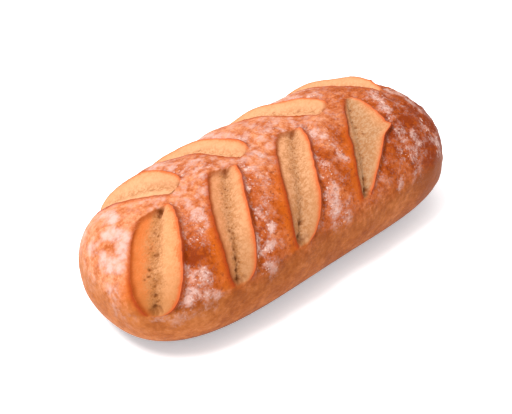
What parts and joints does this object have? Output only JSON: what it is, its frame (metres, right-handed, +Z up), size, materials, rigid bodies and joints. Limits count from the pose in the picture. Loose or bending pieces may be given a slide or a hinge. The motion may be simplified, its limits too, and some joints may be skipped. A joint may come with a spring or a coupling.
{
  "type": "bread loaf",
  "caption": "Crusty oblong wheat loaf with a flat underside, blunt round ends and slanting opened cuts along both sides of its top.",
  "frame": {"origin": "middle of the flat base, on the surface the loaf rests on", "axes": "+X along the loaf towards its blunter end, +Y to its back, +Z up"},
  "size_m": [0.2814, 0.1316, 0.0869],
  "materials": {
    "crust": "matt browned crust dusted with flour, paler and smoother inside the cuts"
  },
  "bodies": {
    "root": {"loaf": "crust"}
  },
  "joints": []
}
